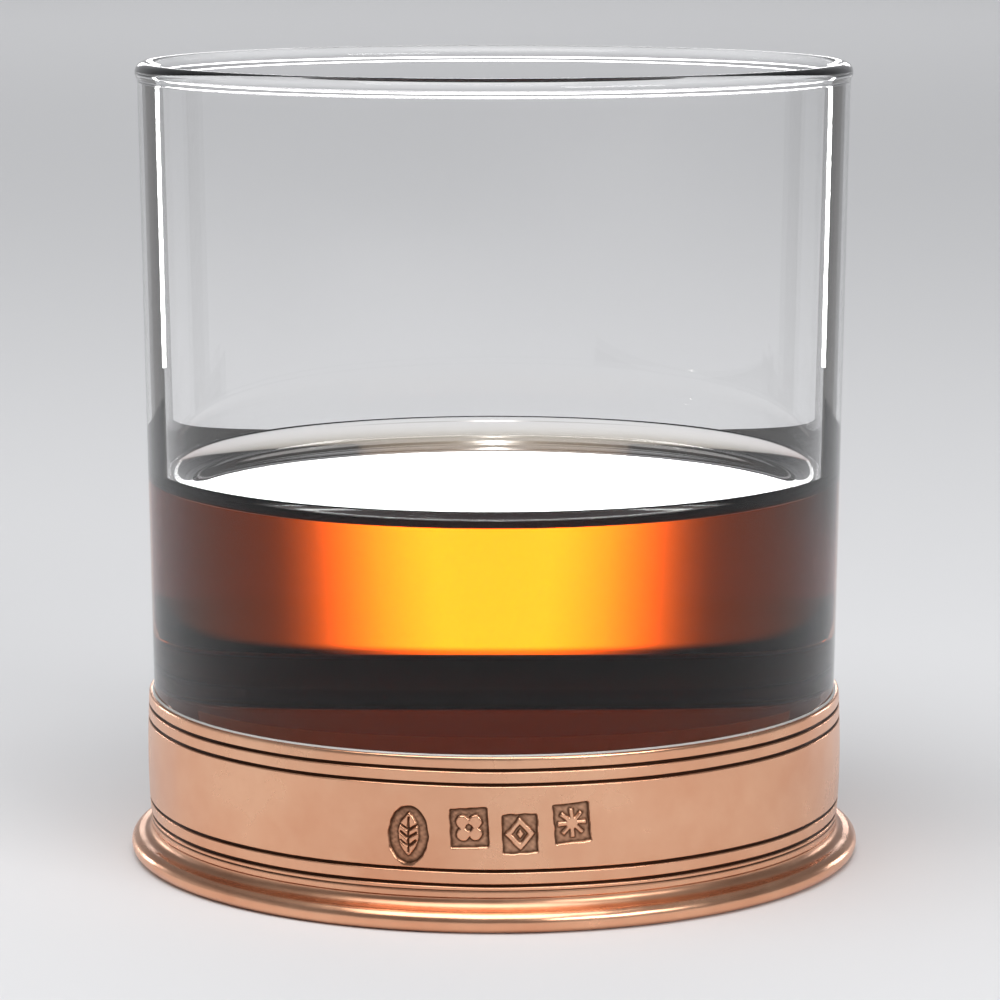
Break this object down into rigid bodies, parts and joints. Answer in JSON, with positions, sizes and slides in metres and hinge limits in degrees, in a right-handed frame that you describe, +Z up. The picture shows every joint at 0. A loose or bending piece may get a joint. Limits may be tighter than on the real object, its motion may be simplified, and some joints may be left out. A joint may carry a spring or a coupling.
{
  "type": "whisky tumbler",
  "caption": "Round straight-sided clear glass tumbler with a thick bottom, bonded into a low copper-plated pewter base with incised lines and struck marks, holding a measure of whisky.",
  "frame": {"origin": "the middle of the foot's underside, on the surface that the tumbler stands on", "axes": "+Z up along the tumbler's axis, and -Y towards the front, where the struck marks are"},
  "size_m": [0.0834, 0.0834, 0.09],
  "materials": {
    "clear_glass": "polished",
    "whisky": "gloss",
    "copper_plate": "satin",
    "clear_adhesive": "gloss"
  },
  "bodies": {
    "root": {"glass_tumbler": "clear_glass", "whisky": "whisky", "collar_band": "copper_plate", "foot_ring": "copper_plate", "base_plate": "copper_plate", "adhesive_bed": "clear_adhesive", "adhesive_bead": "clear_adhesive"}
  },
  "joints": []
}
